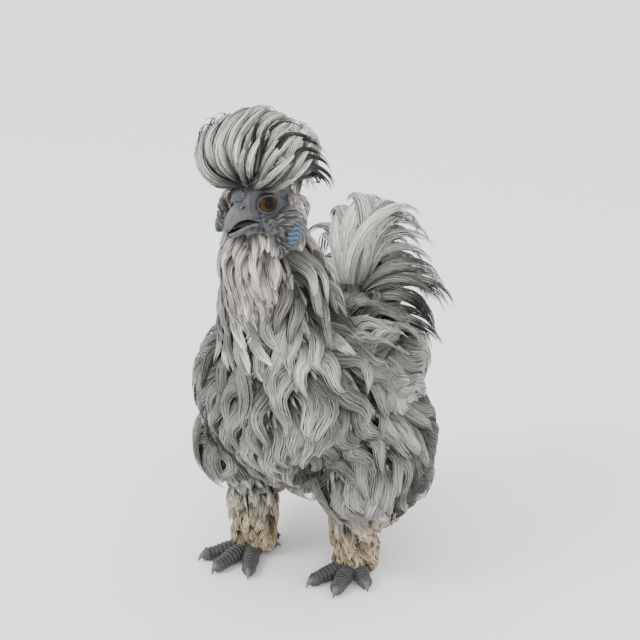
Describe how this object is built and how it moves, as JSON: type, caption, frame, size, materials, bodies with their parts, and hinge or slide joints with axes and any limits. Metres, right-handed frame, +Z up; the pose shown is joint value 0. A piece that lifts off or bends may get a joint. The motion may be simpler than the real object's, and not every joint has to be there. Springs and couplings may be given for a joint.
{
  "type": "silkie chicken figure",
  "caption": "Life-size grey silkie hen standing still, with a round crest, beard, fan tail, feathered legs and five-toed feet.",
  "frame": {"origin": "middle of the bounding box over the floor the hen stands on", "axes": "+Z up, -Y the way the hen faces, +X her left side"},
  "size_m": [0.1694, 0.2142, 0.3222],
  "materials": {
    "claw_horn": "dark grey horn",
    "comb_skin": "wrinkled slate-grey skin",
    "earlobe": "turquoise skin",
    "eye": "wet, amber-brown",
    "face_skin": "slate-grey skin with very short feathers",
    "horn": "grey horn",
    "plumage": "soft grey feathers",
    "shank_plumage": "matted tan feathers",
    "tail_plumage": "soft darker grey feathers",
    "toe_skin": "ridged dark grey skin"
  },
  "bodies": {
    "root": {"beak_lower": "horn", "beak_upper": "horn", "beard": "plumage", "claw_left_1": "claw_horn", "claw_left_2": "claw_horn", "claw_left_3": "claw_horn", "claw_left_4": "claw_horn", "claw_left_5": "claw_horn", "claw_right_1": "claw_horn", "claw_right_2": "claw_horn", "claw_right_3": "claw_horn", "claw_right_4": "claw_horn", "claw_right_5": "claw_horn", "comb": "comb_skin", "crest": "plumage", "earlobe_left": "earlobe", "earlobe_right": "earlobe", "eye_left": "eye", "eye_right": "eye", "foot_left": "toe_skin", "foot_right": "toe_skin", "head": "face_skin", "neck": "plumage", "shank_left": "shank_plumage", "shank_right": "shank_plumage", "tail": "tail_plumage", "thigh_left": "plumage", "thigh_right": "plumage", "torso": "plumage", "wing_left": "plumage", "wing_right": "plumage"}
  },
  "joints": []
}
